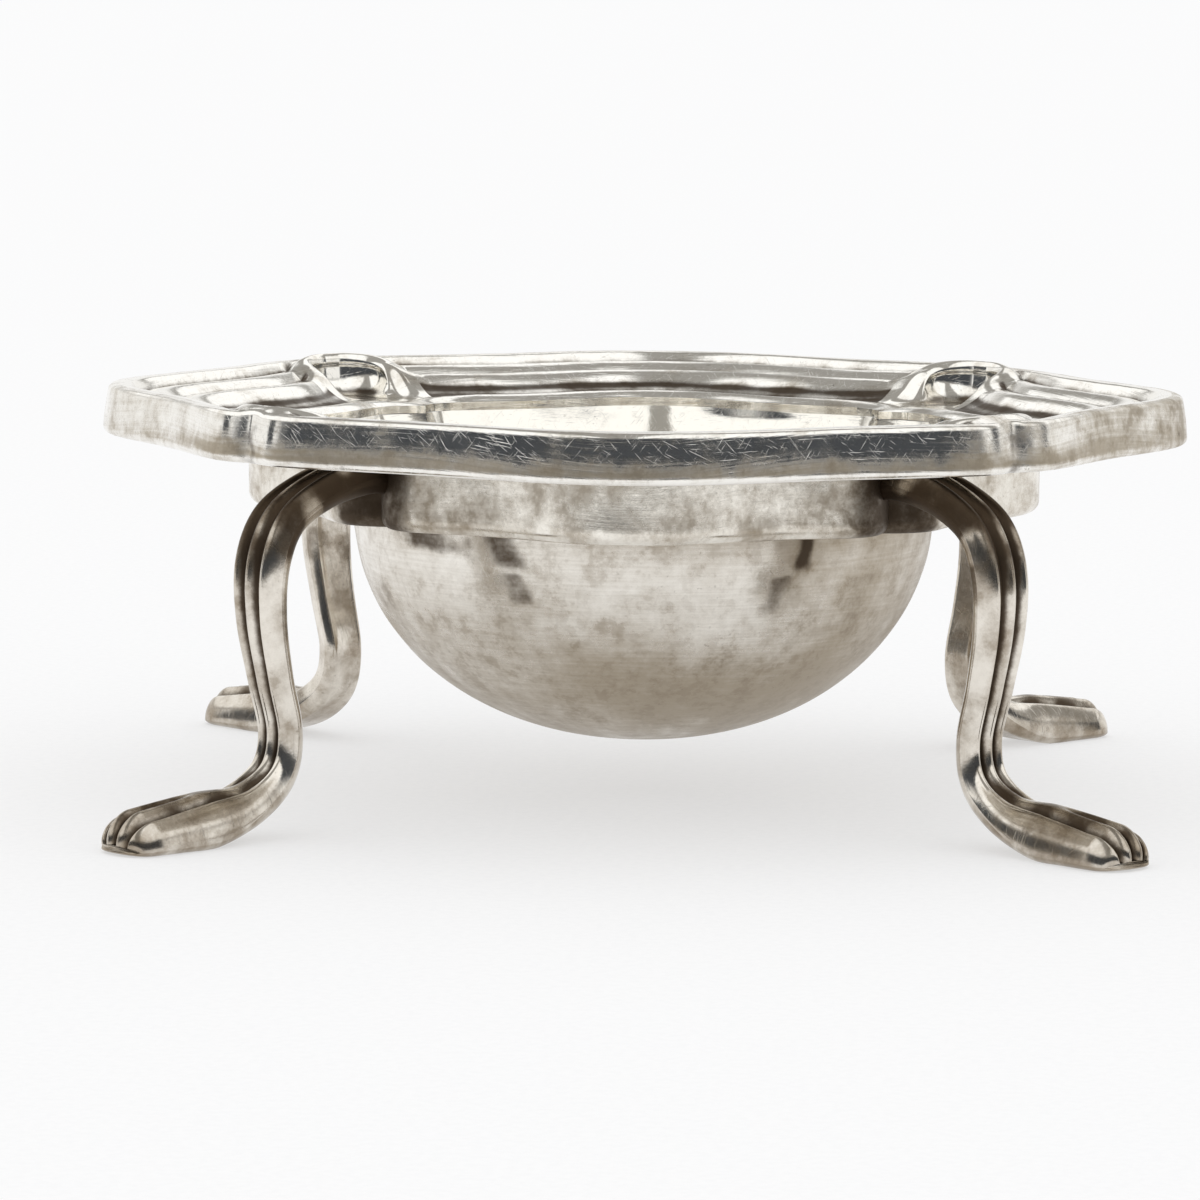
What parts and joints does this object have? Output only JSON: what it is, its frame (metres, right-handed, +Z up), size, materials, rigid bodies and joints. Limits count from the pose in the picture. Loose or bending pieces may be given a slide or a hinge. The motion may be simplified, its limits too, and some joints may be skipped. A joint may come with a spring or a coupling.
{
  "type": "salt cellar",
  "caption": "Open silver salt cellar: round-bottomed bowl in a lobed collar, reeded pie-crust border with corner shells, and reeded cabriole legs with paw feet.",
  "frame": {"origin": "middle of the footprint, on the table under the bowl's axis", "axes": "+Z up along the bowl's axis; the front side of the rim faces -Y; +X to the right as seen from the front; the legs stand on the diagonals"},
  "size_m": [0.0764, 0.0764, 0.0291],
  "materials": {
    "bowl_silver": "worn polished silver with soft mottled tarnish",
    "collar_silver": "satin silver with brown tarnish at the corners",
    "rim_silver": "polished silver with fine scratches and dark recesses",
    "shell_silver": "polished silver with dark hollows",
    "leg_silver": "worn silver with dark tarnish in the grooves"
  },
  "bodies": {
    "root": {"bowl": "bowl_silver", "collar": "collar_silver", "rim_front": "rim_silver", "rim_right": "rim_silver", "rim_back": "rim_silver", "rim_left": "rim_silver", "shell_front_left": "shell_silver", "shell_front_right": "shell_silver", "shell_back_left": "shell_silver", "shell_back_right": "shell_silver", "leg_front_left": "leg_silver", "leg_front_right": "leg_silver", "leg_back_left": "leg_silver", "leg_back_right": "leg_silver"}
  },
  "joints": []
}
